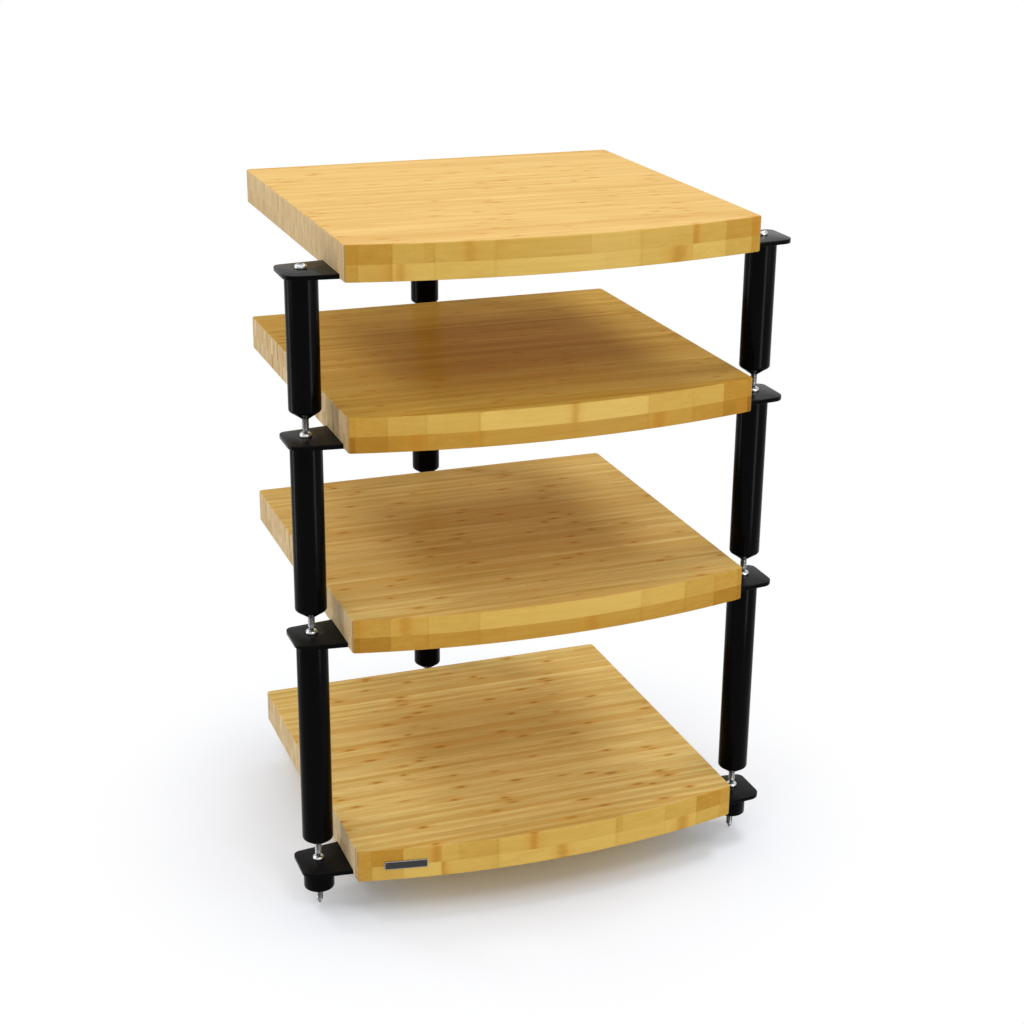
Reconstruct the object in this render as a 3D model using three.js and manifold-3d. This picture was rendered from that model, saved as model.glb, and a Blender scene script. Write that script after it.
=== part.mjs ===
// A modular hi-fi equipment rack: four laminated bamboo shelves on three steel columns.
// Millimetres, +Z up. The front faces -Y, the floor is z = 0, and the origin is the middle of the footprint.
import * as THREE from "three";
import { mergeVertices } from "three/addons/utils/BufferGeometryUtils.js";
import Module from "manifold-3d";

const wasm = await Module();
wasm.setup();

// Shelves
const shelfWidth = 476;
const shelfSideDepth = 446; // from the line through the front corners to the back edge
const frontBow = 28; // how far the middle of the front stands ahead of its corners
const shelfThickness = 40;
const shelfCornerRadius = 5;
const shelfEdgeEase = 1.5;
const baseClearance = 55; // from the floor to the underside of the base shelf
const bayHeights = [249, 192, 145]; // clear heights between the shelves, lowest bay first

// Columns: one at each side near the front, one behind the middle of the back edge
const columnStandoff = 31; // from a shelf's edge out to the column's axis
const columnFromFront = 58.5; // from the line through the front corners back to the side columns
const tubeRadius = 18;
const tubeWall = 2;
const tubeTopEase = 0.8;

// Lower end of a leg: a short cone with a rounded shoulder, over a threaded boss
const coneHeight = 9;
const coneEndRadius = 5;
const shoulderRadius = 4;
const legEndAboveUnderside = 26; // from the underside of the shelf below up to the cone's end
const lowerBossHeight = 22;
const upperBossHeight = 14;

// Feet of the base module
const footLength = 30.5;
const footEdgeEase = 1.5;

// Bracket plates, let into the undersides of the shelves
const plateThickness = 5;
const plateOuterReach = 25; // from the column's axis out to the plate's outer edge
const plateInnerReach = 95; // from the column's axis in to the plate's inner edge
const plateOuterWide = 33; // half widths of the outer edge, on its wide and its narrow side
const plateOuterNarrow = 24;
const plateInnerWide = 47;
const plateInnerNarrow = 38;
const plateWideCorner = 15;
const plateNarrowCorner = 9;
const plateInnerCorner = 12;
const plateEdgeEase = 0.4;

// Countersunk holes for the wood screws, from the underside
const screwHoleRadius = 2.7;
const screwSinkRadius = 5;
const screwSinkDepth = 2.5;
const screwPairInset = 52; // from the column's axis in to the outer pair of holes
const screwPairSpread = 26; // from the plate's centre line to each hole of the pair
const screwSingleInset = 82;

// Button-head bolts that join leg, plate and the spike above
const boltRadius = 4;
const boltHeadRadius = 7;
const boltHeadHeight = 4.4;
const boltHeadRim = 1.2;
const boltCrownRadius = 3.9;
const boltSocketRadius = 2.8;
const boltSocketDepth = 2.6;
const boltShankLength = 16;
const boltTipEase = 0.8;

// Spikes: threaded studs with a point. A floor spike is screwed in as far as the bolt above it.
const spikeRadius = 4;
const crossSpikeLength = 41;
const spikePointLength = 7;
const spikeTipRadius = 0.5;
const spikeTopEase = 0.8;

// Bare plate on the front edge of the base shelf
const badgeWidth = 50;
const badgeHeight = 10;
const badgeThickness = 1;
const badgeCornerRadius = 1.5;
const badgeFromEnd = 55; // from the shelf's left end to the middle of the badge
const badgeAboveUnderside = 19.8;

// Clearances
const seatGap = 0.3; // between faces that rest on each other
const boreGap = 0.3; // around a bolt or a spike in its hole
const rebateGap = 0.4; // around a plate in its rebate
const cutOverrun = 2; // how far a cutter stands past the face that it opens

// Facets
const roundSides = 24;
const smallSides = 16;
const holeSides = 12;
const bowSteps = 16;
const cornerSteps = 4;
const shoulderSteps = 3;
const domeSteps = 3;

const bamboo = new THREE.MeshStandardMaterial({ color: 0xd9ae66, roughness: 0.45, metalness: 0 });
const blackCoat = new THREE.MeshStandardMaterial({ color: 0x101012, roughness: 0.4, metalness: 0.1 });
const chrome = new THREE.MeshStandardMaterial({ color: 0xd8dadc, roughness: 0.12, metalness: 1 });
const zincSteel = new THREE.MeshStandardMaterial({ color: 0xa9abad, roughness: 0.3, metalness: 1 });
const badgeBlack = new THREE.MeshStandardMaterial({ color: 0x0c0c0d, roughness: 0.25, metalness: 0.3 });

// Points of an arc in a plane, both ends included.
function arc(centreX, centreY, radius, from, to, steps) {
  return Array.from({ length: steps + 1 }, (_, i) => {
    const angle = from + ((to - from) * i) / steps;
    return new THREE.Vector2(centreX + radius * Math.cos(angle), centreY + radius * Math.sin(angle));
  });
}

// A corner of an outline with its tip replaced by an arc, given the points before, at and after it.
function roundCorner(before, corner, after, radius, steps) {
  const back = before.clone().sub(corner).normalize();
  const ahead = after.clone().sub(corner).normalize();
  const half = Math.acos(back.dot(ahead)) / 2;
  const centre = back.clone().add(ahead).normalize().multiplyScalar(radius / Math.sin(half)).add(corner);
  const start = back.clone().multiplyScalar(radius / Math.tan(half)).add(corner).sub(centre);
  const end = ahead.clone().multiplyScalar(radius / Math.tan(half)).add(corner).sub(centre);
  const from = start.angle();
  const turn = Math.atan2(start.cross(end), start.dot(end));
  return arc(centre.x, centre.y, radius, from, from + turn, steps);
}

// A closed outline with every corner rounded by its own radius.
function roundedOutline(points, radii, steps) {
  const count = points.length;
  return points.flatMap((point, i) =>
    roundCorner(points[(i + count - 1) % count], point, points[(i + 1) % count], radii[i], steps),
  );
}

// An outline pulled up from z = 0 to z = height, with its edges eased by a small bevel.
function slab(outline, height, ease, easeSteps) {
  return new THREE.ExtrudeGeometry(new THREE.Shape(outline), {
    depth: height - 2 * ease,
    bevelEnabled: ease > 0,
    bevelThickness: ease,
    bevelSize: ease,
    bevelOffset: -ease,
    bevelSegments: easeSteps,
  }).translate(0, 0, ease);
}

// A profile of [radius, z] pairs turned about the Z axis. It runs anticlockwise, radius to the right and z up.
function turned(profile, sides) {
  const points = profile.map(([radius, z]) => new THREE.Vector2(radius, z));
  return new THREE.LatheGeometry(points, sides).rotateX(Math.PI / 2);
}

function toSolid(geometry) {
  const bare = geometry.clone();
  bare.deleteAttribute("normal");
  bare.deleteAttribute("uv");
  const merged = mergeVertices(bare);
  return new wasm.Manifold(
    new wasm.Mesh({
      numProp: 3,
      vertProperties: new Float32Array(merged.attributes.position.array),
      triVerts: new Uint32Array(merged.index.array),
    }),
  );
}

function toGeometry(solid) {
  const mesh = solid.getMesh();
  const geometry = new THREE.BufferGeometry();
  geometry.setAttribute("position", new THREE.BufferAttribute(mesh.vertProperties, 3));
  geometry.setIndex(new THREE.BufferAttribute(mesh.triVerts, 1));
  geometry.computeVertexNormals();
  return geometry;
}

function cutFrom(body, cutters) {
  return toGeometry(cutters.reduce((solid, cutter) => solid.subtract(toSolid(cutter)), toSolid(body)));
}

// Where the shelves and columns stand
const bowRadius = (shelfWidth ** 2 / 4 + frontBow ** 2) / (2 * frontBow);
const backReach = shelfSideDepth + columnStandoff + plateOuterReach;
const frontLine = -(backReach - frontBow) / 2; // y of the line through the front corners
const undersides = bayHeights.reduce(
  (heights, bay) => [...heights, heights[heights.length - 1] + shelfThickness + bay],
  [baseClearance],
);

// Each column: its axis in the plan, the way out from the shelf, and the side of it where the plate is wide.
const columns = {
  left: { x: -(shelfWidth / 2 + columnStandoff), y: frontLine + columnFromFront, turn: Math.PI, wideSide: 1 },
  right: { x: shelfWidth / 2 + columnStandoff, y: frontLine + columnFromFront, turn: 0, wideSide: -1 },
  rear: { x: 0, y: frontLine + shelfSideDepth + columnStandoff, turn: Math.PI / 2, wideSide: 1 },
};

// Plan of a shelf, with y = 0 on the line through its front corners.
function shelfOutline() {
  const cornerX = shelfWidth / 2 - shelfCornerRadius;
  const bowCentre = bowRadius - frontBow;
  const frontY = bowCentre - Math.sqrt((bowRadius - shelfCornerRadius) ** 2 - cornerX ** 2);
  const backY = shelfSideDepth - shelfCornerRadius;
  const lean = Math.atan2(bowCentre - frontY, cornerX);
  const quarter = Math.PI / 2;
  return [
    ...arc(cornerX, frontY, shelfCornerRadius, -lean, 0, cornerSteps),
    ...arc(cornerX, backY, shelfCornerRadius, 0, quarter, cornerSteps),
    ...arc(-cornerX, backY, shelfCornerRadius, quarter, Math.PI, cornerSteps),
    ...arc(-cornerX, frontY, shelfCornerRadius, Math.PI, Math.PI + lean, cornerSteps),
    ...arc(0, bowCentre, bowRadius, Math.PI + lean, 2 * Math.PI - lean, bowSteps).slice(1, -1),
  ];
}

// Plan of a bracket plate about its column's axis. +X points out from the shelf, and wideSide is the sign of
// the Y side on which the plate is wide.
function plateOutline(wideSide, grow) {
  const outer = plateOuterReach + grow;
  const inner = -(plateInnerReach + grow);
  const corners = [
    [outer, -(plateOuterNarrow + grow), plateNarrowCorner],
    [outer, plateOuterWide + grow, plateWideCorner],
    [inner, plateInnerWide + grow, plateInnerCorner],
    [inner, -(plateInnerNarrow + grow), plateInnerCorner],
  ];
  const ordered = wideSide > 0 ? corners : corners.map(([x, y, r]) => [x, -y, r]).reverse();
  const points = ordered.map(([x, y]) => new THREE.Vector2(x, y));
  const radii = ordered.map(([, , radius]) => radius + grow);
  return roundedOutline(points, radii, cornerSteps);
}

function atColumn(geometry, column) {
  return geometry.rotateZ(column.turn).translate(column.x, column.y, 0);
}

function shelfGeometry() {
  const board = slab(shelfOutline(), shelfThickness, shelfEdgeEase, 2).translate(0, frontLine, 0);
  const depth = plateThickness + seatGap;
  const rebates = Object.values(columns).map((column) => {
    const cutter = slab(plateOutline(column.wideSide, rebateGap), depth + cutOverrun, 0, 0);
    return atColumn(cutter.translate(0, 0, -cutOverrun), column);
  });
  return cutFrom(board, rebates);
}

function plateGeometry(column) {
  const plate = slab(plateOutline(column.wideSide, 0), plateThickness, plateEdgeEase, 1);
  const bore = new THREE.CylinderGeometry(
    boltRadius + boreGap,
    boltRadius + boreGap,
    plateThickness + 2 * cutOverrun,
    smallSides,
  )
    .rotateX(Math.PI / 2)
    .translate(0, 0, plateThickness / 2);
  const centreLine = (column.wideSide * (plateOuterWide - plateOuterNarrow)) / 2;
  const screwPlaces = [
    [-screwPairInset, centreLine - screwPairSpread],
    [-screwPairInset, centreLine + screwPairSpread],
    [-screwSingleInset, centreLine],
  ];
  const screwHoles = screwPlaces.map(([x, y]) =>
    turned(
      [
        [0, -cutOverrun],
        [screwSinkRadius, -cutOverrun],
        [screwSinkRadius, 0],
        [screwHoleRadius, screwSinkDepth],
        [screwHoleRadius, plateThickness + cutOverrun],
        [0, plateThickness + cutOverrun],
      ],
      holeSides,
    ).translate(x, y, 0),
  );
  return atColumn(cutFrom(plate, [bore, ...screwHoles]), column);
}

// Points of the rounded shoulder between a leg's cone and its wall, from the cone up.
function shoulder() {
  const coneEnd = new THREE.Vector2(coneEndRadius, 0);
  const corner = new THREE.Vector2(tubeRadius, coneHeight);
  const above = new THREE.Vector2(tubeRadius, coneHeight + tubeRadius);
  return roundCorner(coneEnd, corner, above, shoulderRadius, shoulderSteps).map((p) => [p.x, p.y]);
}

// A leg, from its cone's end at z = 0 up to the underside of its plate, with both bosses bored through.
function legGeometry(length) {
  const hollow = tubeRadius - tubeWall;
  return turned(
    [
      [spikeRadius + boreGap, 0],
      [coneEndRadius, 0],
      ...shoulder(),
      [tubeRadius, length - tubeTopEase],
      [tubeRadius - tubeTopEase, length],
      [boltRadius + boreGap, length],
      [boltRadius + boreGap, length - upperBossHeight],
      [hollow, length - upperBossHeight],
      [hollow, lowerBossHeight],
      [spikeRadius + boreGap, lowerBossHeight],
      [spikeRadius + boreGap, 0],
    ],
    roundSides,
  );
}

// A foot of the base module: a short bar, bored through, from z = 0 up to the underside of its plate.
function footGeometry() {
  const bore = Math.max(spikeRadius, boltRadius) + boreGap;
  const length = footLength - seatGap;
  return turned(
    [
      [bore, 0],
      [tubeRadius - footEdgeEase, 0],
      [tubeRadius, footEdgeEase],
      [tubeRadius, length - tubeTopEase],
      [tubeRadius - tubeTopEase, length],
      [bore, length],
      [bore, 0],
    ],
    roundSides,
  );
}

// A button-head bolt with the underside of its head at z = 0. Its socket takes the point of a spike.
function boltGeometry() {
  const dome = Array.from({ length: domeSteps + 1 }, (_, i) => {
    const angle = ((Math.PI / 2) * i) / domeSteps;
    return [
      boltCrownRadius + (boltHeadRadius - boltCrownRadius) * Math.cos(angle),
      boltHeadRim + (boltHeadHeight - boltHeadRim) * Math.sin(angle),
    ];
  });
  return turned(
    [
      [0, -boltShankLength],
      [boltRadius - boltTipEase, -boltShankLength],
      [boltRadius, boltTipEase - boltShankLength],
      [boltRadius, 0],
      [boltHeadRadius, 0],
      ...dome,
      [boltSocketRadius, boltHeadHeight],
      [boltSocketRadius, boltHeadHeight - boltSocketDepth],
      [0, boltHeadHeight - boltSocketDepth],
    ],
    smallSides,
  );
}

// A spike with its tip at z = 0.
function spikeGeometry(length) {
  return turned(
    [
      [0, 0],
      [spikeTipRadius, 0],
      [spikeRadius, spikePointLength],
      [spikeRadius, length - spikeTopEase],
      [spikeRadius - spikeTopEase, length],
      [0, length],
    ],
    smallSides,
  );
}

// The bare plate stands on the front edge, turned to follow the bow, with its back at y = 0.
function badgeGeometry() {
  const x = badgeWidth / 2;
  const y = badgeHeight / 2;
  const corners = [
    new THREE.Vector2(-x, -y),
    new THREE.Vector2(x, -y),
    new THREE.Vector2(x, y),
    new THREE.Vector2(-x, y),
  ];
  const outline = roundedOutline(corners, corners.map(() => badgeCornerRadius), cornerSteps);
  return slab(outline, badgeThickness, 0, 0).rotateX(Math.PI / 2);
}

const rack = new THREE.Group();

function add(name, geometry, material, parent) {
  const mesh = new THREE.Mesh(geometry, material);
  mesh.name = name;
  parent.add(mesh);
  return mesh;
}

function addBadge(underside) {
  const lean = Math.asin((shelfWidth / 2 - badgeFromEnd) / bowRadius);
  const standOff = bowRadius + seatGap;
  const mesh = add("badge_plate", badgeGeometry(), badgeBlack, rack);
  mesh.position.set(
    -standOff * Math.sin(lean),
    frontLine + bowRadius - frontBow - standOff * Math.cos(lean),
    underside + badgeAboveUnderside,
  );
  mesh.rotation.z = -lean;
}

const tierNames = ["base", "lower", "middle", "top"];

// Heights above the underside of the shelf that a bolt or a spike stands on
const headTop = plateThickness + seatGap + boltHeadHeight;
const spikeTipHeight = headTop - boltSocketDepth + seatGap;
const floorSpikeLength = baseClearance + plateThickness - boltShankLength;

tierNames.forEach((tier, level) => {
  const underside = undersides[level];
  const group = new THREE.Group();
  group.position.z = underside;
  rack.add(group);
  add(tier + "_shelf", shelfGeometry(), bamboo, group);
  Object.entries(columns).forEach(([side, column]) => {
    const name = tier + "_" + side;
    const stand = new THREE.Group();
    stand.position.set(column.x, column.y, 0);
    group.add(stand);
    add(name + "_bracket_plate", plateGeometry(column), blackCoat, group);
    add(name + "_cup_bolt", boltGeometry(), chrome, stand).position.z = plateThickness + seatGap;
    if (level === 0) {
      const spike = spikeGeometry(floorSpikeLength);
      add(name + "_foot", footGeometry(), blackCoat, stand).position.z = -footLength;
      add(name + "_floor_spike", spike, zincSteel, stand).position.z = -baseClearance;
    } else {
      const drop = underside - undersides[level - 1];
      const leg = legGeometry(drop - legEndAboveUnderside - seatGap);
      const spike = spikeGeometry(crossSpikeLength);
      add(name + "_leg_tube", leg, blackCoat, stand).position.z = legEndAboveUnderside - drop;
      add(name + "_cross_spike", spike, zincSteel, stand).position.z = spikeTipHeight - drop;
    }
  });
});
addBadge(undersides[0]);

export default rack;
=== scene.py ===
import math
import random

import bmesh
import bpy
from mathutils import Matrix, Vector


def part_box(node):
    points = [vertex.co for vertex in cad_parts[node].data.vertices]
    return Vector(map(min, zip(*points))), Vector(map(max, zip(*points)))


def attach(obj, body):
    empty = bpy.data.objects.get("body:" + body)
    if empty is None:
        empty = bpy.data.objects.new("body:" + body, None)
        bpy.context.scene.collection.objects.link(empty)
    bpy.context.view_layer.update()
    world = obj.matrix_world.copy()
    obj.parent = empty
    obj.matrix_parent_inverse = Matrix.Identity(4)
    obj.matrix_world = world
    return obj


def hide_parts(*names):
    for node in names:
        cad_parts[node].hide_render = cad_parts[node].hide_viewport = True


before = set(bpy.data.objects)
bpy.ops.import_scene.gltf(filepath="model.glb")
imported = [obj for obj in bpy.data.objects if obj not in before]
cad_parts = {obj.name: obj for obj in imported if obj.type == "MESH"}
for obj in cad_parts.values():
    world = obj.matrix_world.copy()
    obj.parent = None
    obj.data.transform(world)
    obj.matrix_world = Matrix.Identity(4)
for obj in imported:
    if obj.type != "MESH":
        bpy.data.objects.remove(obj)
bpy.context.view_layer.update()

# An audio equipment rack: four laminated bamboo shelves on three black steel columns, in a white studio.
# Places come from the frame. Other sizes are in millimetres, turned to metres by MM.
MM = 0.001
TIERS = ("base", "lower", "middle", "top")
SIDES = ("left", "right", "rear")

# Camera
CAMERA_PLACE = Vector((-741.5, -2086.7, 1224.5)) * MM
CAMERA_YAW = math.radians(-20.429)
CAMERA_PITCH_DOWN = math.radians(20.447)
CAMERA_ROLL = math.radians(0.546)
CAMERA_LENS = 66.96
CAMERA_SENSOR = 36

# Shelves
SHELF_BOW = 28 * MM
SHELF_CORNER = 5 * MM
SHELF_EASE = 1.5 * MM
UPPER_LAYER = 21.4 * MM  # the upper of the two glued layers
STRIP_WIDTH = 7.2 * MM
KNUCKLE_SPACING = 205 * MM
KNUCKLE_LENGTH = 9 * MM
KNUCKLE_WIDTH = 3.8 * MM
HALO_LENGTH = 22 * MM
HALO_WIDTH = 6.5 * MM

# Bracket plates
PLATE_OUTER_REACH = 25 * MM
PLATE_INNER_REACH = 95 * MM
PLATE_OUTER_WIDE = 33 * MM
PLATE_OUTER_NARROW = 24 * MM
PLATE_INNER_WIDE = 47 * MM
PLATE_INNER_NARROW = 38 * MM
PLATE_WIDE_CORNER = 15 * MM
PLATE_NARROW_CORNER = 9 * MM
PLATE_INNER_CORNER = 12 * MM
PLATE_EASE = 0.5 * MM
REBATE_GAP = 0.4 * MM
REBATE_CEILING_GAP = 0.3 * MM
CUT_OVERRUN = 2 * MM

# Wood screws
SCREW_PAIR_INSET = 52 * MM
SCREW_PAIR_SPREAD = 26 * MM
SCREW_SINGLE_INSET = 82 * MM
SCREW_HOLE = 2.7 * MM
SCREW_SINK = 5 * MM
SCREW_SINK_DEPTH = 2.5 * MM
SCREW_HEAD = 4.7 * MM
SCREW_SHANK = 2.2 * MM
SCREW_LENGTH = 25 * MM
SCREW_SET_BACK = 0.2 * MM
SCREW_CROSS_ARM = 2.6 * MM
SCREW_CROSS_WIDTH = 0.9 * MM
SCREW_CROSS_DEPTH = 1.6 * MM
SCREW_CROSS_TAPER = 0.35  # the cross's size at its bottom, as a share of that at its top
SCREW_TURN_STEP = 0.7  # radians from one screw's cross to the next one's

# Columns
TUBE_WALL = 2 * MM
TUBE_TOP_EASE = 0.8 * MM
CONE_HEIGHT = 9 * MM
CONE_END = 5 * MM
SHOULDER = 4 * MM
LOWER_BOSS = 22 * MM
UPPER_BOSS = 14 * MM
FOOT_EASE = 1.5 * MM
BORE = 4.3 * MM

# Bolts and spikes
THREAD_CREST = 4 * MM
THREAD_ROOT = 3.35 * MM
THREAD_PITCH = 1.25 * MM
THREAD_END_EASE = 0.8 * MM
POINT_LENGTH = 7 * MM
POINT_TIP = 0.5 * MM
HEAD_HEIGHT = 4.4 * MM
HEAD_RIM = 1.2 * MM
HEAD_CROWN = 3.9 * MM
HEAD_RIM_EASE = 0.25 * MM
SOCKET_FLATS = 5 * MM
SOCKET_LIP = 0.3 * MM
SOCKET_DEPTH = 2.6 * MM

# Badge
BADGE_CORNER = 1.5 * MM
BADGE_EASE = 0.2 * MM
BADGE_RIM = 0.7 * MM
BADGE_RECESS = 0.15 * MM

# Facets
ROUND_SIDES = 72
THREAD_SIDES = 24
THREAD_ROWS = 6
HOLE_SIDES = 32
BOW_STEPS = 72
CORNER_STEPS = 8
EASE_STEPS = 3
SHARP_ANGLE = math.radians(32)


# Small tools for outlines and meshes

def quarter_angles(steps):
    """Angles from 0 to a right angle."""
    return [math.pi / 2 * step / steps for step in range(steps + 1)]


def arc(centre, radius, start, end, steps):
    angles = [start + (end - start) * i / steps for i in range(steps + 1)]
    return [Vector((centre[0] + radius * math.cos(a), centre[1] + radius * math.sin(a))) for a in angles]


def round_corner(before, corner, after, radius, steps):
    """The arc that replaces a corner's tip."""
    back = (before - corner).normalized()
    ahead = (after - corner).normalized()
    half = back.angle(ahead) / 2
    centre = corner + (back + ahead).normalized() * radius / math.sin(half)
    start = corner + back * radius / math.tan(half) - centre
    end = corner + ahead * radius / math.tan(half) - centre
    first = math.atan2(start.y, start.x)
    turn = math.atan2(start.x * end.y - start.y * end.x, start.dot(end))
    return arc(centre, radius, first, first + turn, steps)


def rounded_outline(corners, steps):
    """A closed outline from (x, y, radius) corners."""
    points = [Vector((x, y)) for x, y, radius in corners]
    outline = []
    for i, (x, y, radius) in enumerate(corners):
        outline += round_corner(points[i - 1], points[i], points[(i + 1) % len(points)], radius, steps)
    return outline


def lift(outline, z):
    """The points of an outline, at a height."""
    return [Vector((*point, z)) for point in outline]


def skin(rings, closed=False):
    """Vertices and faces of a surface through rings of equal length, anticlockwise and from the bottom up.
    A closed one joins its last ring to its first. Otherwise both ends get a lid."""
    size = len(rings[0])
    vertices = [point for ring in rings for point in ring]
    faces = []
    for row in range(len(rings) if closed else len(rings) - 1):
        low = row * size
        high = (row + 1) % len(rings) * size
        for i in range(size):
            j = (i + 1) % size
            faces.append((low + i, low + j, high + j, high + i))
    if not closed:
        faces.append(tuple(reversed(range(size))))
        faces.append(tuple(range(len(vertices) - size, len(vertices))))
    return vertices, faces


def turns(sides):
    """Angles of a ring's points, all the way round."""
    return [2 * math.pi * i / sides for i in range(sides)]


def polar(radius, angle, z):
    """A point by its radius and angle about the Z axis."""
    return Vector((radius * math.cos(angle), radius * math.sin(angle), z))


def circle_ring(z, radius, sides):
    return [polar(radius, angle, z) for angle in turns(sides)]


def turned(profile, sides, closed=False):
    """A profile of (radius, z) pairs turned about the Z axis."""
    return skin([circle_ring(z, radius, sides) for radius, z in profile], closed)


def slab_rings(outline_at, height, ease):
    """Rings of an outline pulled up from z = 0 with rounded edges. outline_at gives the outline drawn in."""
    angles = quarter_angles(EASE_STEPS)
    edges = [(ease * (1 - math.sin(a)), ease * (1 - math.cos(a))) for a in angles]
    edges += [(ease * (1 - math.cos(a)), height - ease + ease * math.sin(a)) for a in angles]
    return [lift(outline_at(inset), z) for inset, z in edges]


def slab(outline_at, height, ease):
    return skin(slab_rings(outline_at, height, ease))


def add_object(name, data):
    holder = bpy.data.objects.new(name, data)
    bpy.context.scene.collection.objects.link(holder)
    return holder


def make_object(name, vertices, faces):
    mesh = bpy.data.meshes.new(name)
    mesh.from_pydata(vertices, [], faces)
    return add_object(name, mesh)


def place(piece, matrix):
    """Moves the piece's mesh, so that its object stays at the origin."""
    piece.data.transform(matrix)
    return piece


def carve(piece, cutters):
    """Cuts the cutters out of the piece and removes them."""
    for cutter in cutters:
        cut = piece.modifiers.new("cut", "BOOLEAN")
        cut.object = cutter
        cut.solver = "EXACT"
    seen = piece.evaluated_get(bpy.context.evaluated_depsgraph_get())
    mesh = bpy.data.meshes.new_from_object(seen)
    piece.modifiers.clear()
    piece.data = mesh
    for cutter in cutters:
        bpy.data.objects.remove(cutter)
    return piece


def smooth(piece):
    piece.data.shade_smooth()
    piece.data.set_sharp_from_angle(angle=SHARP_ANGLE)


def dress(piece, node, body, material):
    """Gives a finished piece its material and its body, and hides the CAD node that it stands for, if any."""
    smooth(piece)
    piece.data.materials.clear()
    piece.data.materials.append(material)
    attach(piece, body)
    if node:
        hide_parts(node)


def height_of(node):
    low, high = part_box(node)
    return high.z - low.z


def radius_of(node):
    low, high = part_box(node)
    return (high.x - low.x) / 2


def stand(piece, node):
    """Moves a round piece that was made at the origin to where its node stands."""
    low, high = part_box(node)
    place(piece, Matrix.Translation(((low.x + high.x) / 2, (low.y + high.y) / 2, low.z)))


def copy_of(piece, name):
    return add_object(name, piece.data.copy())


# Materials

# The sockets of a mix node that belong to colours: share, first and second colour, and result
MIX_INPUTS = (0, 6, 7)
MIX_OUTPUT = 2


class Nodes:
    """Adds nodes to a tree and links what it is given: sockets are linked, plain values are set."""

    def __init__(self, tree):
        self.tree = tree

    def add(self, kind, settings=(), **inputs):
        node = self.tree.nodes.new(kind)
        for key, value in dict(settings).items():
            setattr(node, key, value)
        for key, value in inputs.items():
            self.feed(node.inputs[key.replace("_", " ")], value)
        return node

    def feed(self, socket, value):
        if isinstance(value, bpy.types.NodeSocket):
            self.tree.links.new(value, socket)
        else:
            socket.default_value = value

    def math(self, operation, first, second=0.0, third=0.0, clamp=False):
        node = self.add("ShaderNodeMath", {"operation": operation, "use_clamp": clamp})
        for socket, value in zip(node.inputs, (first, second, third)):
            self.feed(socket, value)
        return node.outputs[0]

    def step(self, value, low, high, out_low=0.0, out_high=1.0):
        """A smooth step from out_low to out_high while value goes from low to high."""
        node = self.add("ShaderNodeMapRange", {"interpolation_type": "SMOOTHSTEP"})
        for socket, item in zip(node.inputs, (value, low, high, out_low, out_high)):
            self.feed(socket, item)
        return node.outputs[0]

    def stretch(self, vector, scale):
        node = self.add("ShaderNodeVectorMath", {"operation": "MULTIPLY"})
        self.feed(node.inputs[0], vector)
        self.feed(node.inputs[1], scale)
        return node.outputs[0]

    def spread(self, share, low, high):
        """From low to high, in proportion to a share from 0 to 1."""
        return self.math("MULTIPLY_ADD", share, high - low, low)

    def vary(self, level, noise, amount):
        """Adds a noise to the level, so that a half leaves it as it is."""
        return self.math("MULTIPLY_ADD", self.math("SUBTRACT", noise, 0.5), amount, level)

    def join(self, x, y, z=0.0):
        return self.add("ShaderNodeCombineXYZ", X=x, Y=y, Z=z).outputs[0]

    def split(self, vector):
        return self.add("ShaderNodeSeparateXYZ", Vector=vector).outputs

    def noise(self, vector, scale=1.0, detail=2.0, roughness=0.5):
        node = self.add("ShaderNodeTexNoise", Vector=vector, Scale=scale, Detail=detail, Roughness=roughness)
        return node.outputs["Fac"]

    def oval(self, first, second, length, width):
        """Distance from a point in units of an oval's half axes."""
        first = self.math("POWER", self.math("DIVIDE", first, length), 2.0)
        second = self.math("POWER", self.math("ABSOLUTE", self.math("DIVIDE", second, width)), 2.0)
        return self.math("SQRT", self.math("ADD", first, second))

    def chance(self, vector):
        """A random number for each vector."""
        return self.add("ShaderNodeTexWhiteNoise", {"noise_dimensions": "3D"}, Vector=vector).outputs["Value"]

    def mix(self, share, first, second, blend="MIX"):
        """Goes from the first colour to the second as share goes from 0 to 1."""
        node = self.add("ShaderNodeMix", {"data_type": "RGBA", "blend_type": blend})
        for number, value in zip(MIX_INPUTS, (share, first, second)):
            self.feed(node.inputs[number], value)
        return node.outputs[MIX_OUTPUT]

    def tint(self, share, colour, factor):
        """The colour multiplied by a factor."""
        return self.mix(share, colour, (*factor, 1), "MULTIPLY")

    def ramp(self, level, stops):
        """A colour from a level, through (place, colour) stops."""
        node = self.add("ShaderNodeValToRGB", Fac=level)
        elements = node.color_ramp.elements
        while len(elements) < len(stops):
            elements.new(0.5)
        for element, (spot, colour) in zip(elements, stops):
            element.position = spot
            element.color = (*colour, 1)
        return node.outputs["Color"]

    def object_xyz(self):
        """Where on its object a point lies, in metres."""
        return self.add("ShaderNodeTexCoord").outputs["Object"]

    def attribute(self, name):
        return self.add("ShaderNodeAttribute", {"attribute_name": name}).outputs["Fac"]


def new_material(name):
    material = bpy.data.materials.new(name)
    material.use_nodes = True
    tree = material.node_tree
    tree.nodes.clear()
    nodes = Nodes(tree)
    shader = nodes.add("ShaderNodeBsdfPrincipled")
    output = nodes.add("ShaderNodeOutputMaterial")
    tree.links.new(shader.outputs[0], output.inputs[0])
    return material, nodes, shader


def finish_surface(nodes, shader, colour, roughness, height, relief):
    """Feeds a shader. relief gives the strength of the bumps and their height in metres."""
    nodes.feed(shader.inputs["Base Color"], colour)
    nodes.feed(shader.inputs["Roughness"], roughness)
    strength, distance = relief
    bumps = nodes.add("ShaderNodeBump", Strength=strength, Distance=distance, Height=height)
    nodes.feed(shader.inputs["Normal"], bumps.outputs[0])


# Bamboo

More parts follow.
